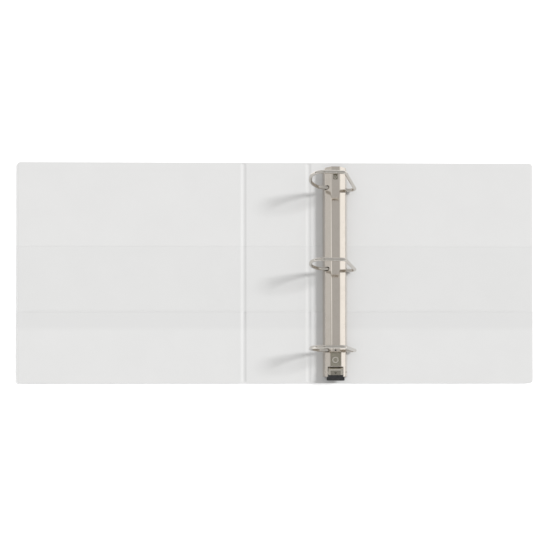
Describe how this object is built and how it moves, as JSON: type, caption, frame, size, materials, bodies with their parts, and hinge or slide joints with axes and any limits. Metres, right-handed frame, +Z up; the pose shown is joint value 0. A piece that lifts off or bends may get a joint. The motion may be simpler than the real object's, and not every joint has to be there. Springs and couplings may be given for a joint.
{
  "type": "ring binder",
  "caption": "White vinyl ring binder lying open, with slanted D rings on a bright metal mechanism, a press lever, two folding covers and full-width pockets inside.",
  "frame": {"origin": "middle of the open binder's footprint, on the surface it lies on", "axes": "+X from the front cover to the back cover, +Y up the sheets to the top edge, +Z up out of the inside faces"},
  "size_m": [0.6952, 0.298, 0.0761],
  "materials": {
    "clear_vinyl": "clear glossy film",
    "white_vinyl": "satin, fine leather-like grain",
    "pocket_vinyl": "satin",
    "chipboard": "raw grey-brown board",
    "zinc_steel": "zinc-plated",
    "nickel_sheet": "bright nickel plating",
    "nickel_wire": "bright nickel plating",
    "bright_rivet": "bright nickel plating",
    "block_plastic": "natural moulded nylon",
    "black_plastic": "fine moulded texture"
  },
  "bodies": {
    "back_cover": {"back_overlay": "clear_vinyl", "back_outer_skin": "white_vinyl", "back_board": "chipboard", "back_inner_liner": "white_vinyl", "back_tall_pocket": "pocket_vinyl", "back_short_pocket": "pocket_vinyl", "back_hinge_web": "white_vinyl", "ring_housing": "nickel_sheet", "mounting_posts": "zinc_steel", "mounting_rivets": "bright_rivet", "lever_pivot_pin": "bright_rivet"},
    "spine": {"spine_overlay": "clear_vinyl", "spine_outer_skin": "white_vinyl", "spine_board": "chipboard", "spine_inner_liner": "white_vinyl", "spine_tall_pocket": "pocket_vinyl", "spine_short_pocket": "pocket_vinyl"},
    "front_cover": {"front_overlay": "clear_vinyl", "front_outer_skin": "white_vinyl", "front_board": "chipboard", "front_inner_liner": "white_vinyl", "front_tall_pocket": "pocket_vinyl", "front_short_pocket": "pocket_vinyl", "front_hinge_web": "white_vinyl"},
    "lever": {"lever_frame": "nickel_sheet", "lever_grip": "black_plastic", "lever_drive_pin": "zinc_steel"},
    "travel_bar": {"travel_bar": "zinc_steel", "connector_link": "zinc_steel", "link_rivet": "zinc_steel", "locking_block_top": "block_plastic", "locking_block_middle": "block_plastic", "locking_block_bottom": "block_plastic"},
    "left_plate": {"left_hinge_plate": "zinc_steel", "left_ring_top": "nickel_wire", "left_ring_middle": "nickel_wire", "left_ring_bottom": "nickel_wire"},
    "right_plate": {"right_hinge_plate": "zinc_steel", "right_ring_top": "nickel_wire", "right_ring_middle": "nickel_wire", "right_ring_bottom": "nickel_wire"}
  },
  "joints": [
    {"name": "spine_fold", "type": "hinge", "parent": "back_cover", "child": "spine", "pos_m": [0.04065, 0, 0.00155], "axis": [0, 1, 0], "range_deg": [-90, 84]},
    {"name": "front_fold", "type": "hinge", "parent": "spine", "child": "front_cover", "pos_m": [-0.04065, 0, 0.00155], "axis": [0, 1, 0], "range_deg": [-90, 96]},
    {"name": "lever_turn", "type": "hinge", "parent": "back_cover", "child": "lever", "pos_m": [0.07935, -0.1346, 0.0146], "axis": [-1, 0, 0], "range_deg": [-35, 0]},
    {"name": "travel_bar_slide", "type": "slide", "parent": "back_cover", "child": "travel_bar", "axis": [0, -1, 0], "range_m": [-0.00451, 0]},
    {"name": "left_plate_rock", "type": "hinge", "parent": "back_cover", "child": "left_plate", "pos_m": [0.06515, 0, 0.006], "axis": [0, 1, 0], "range_deg": [-7.5, 0]},
    {"name": "right_plate_rock", "type": "hinge", "parent": "back_cover", "child": "right_plate", "pos_m": [0.09355, 0, 0.006], "axis": [0, -1, 0], "range_deg": [-7.5, 0]}
  ],
  "couplings": [
    {"joint": "lever_turn", "follows": "travel_bar_slide", "rad_per_m": 135.45},
    {"joint": "left_plate_rock", "follows": "travel_bar_slide", "rad_per_m": 29.024},
    {"joint": "right_plate_rock", "follows": "travel_bar_slide", "rad_per_m": 29.024}
  ]
}
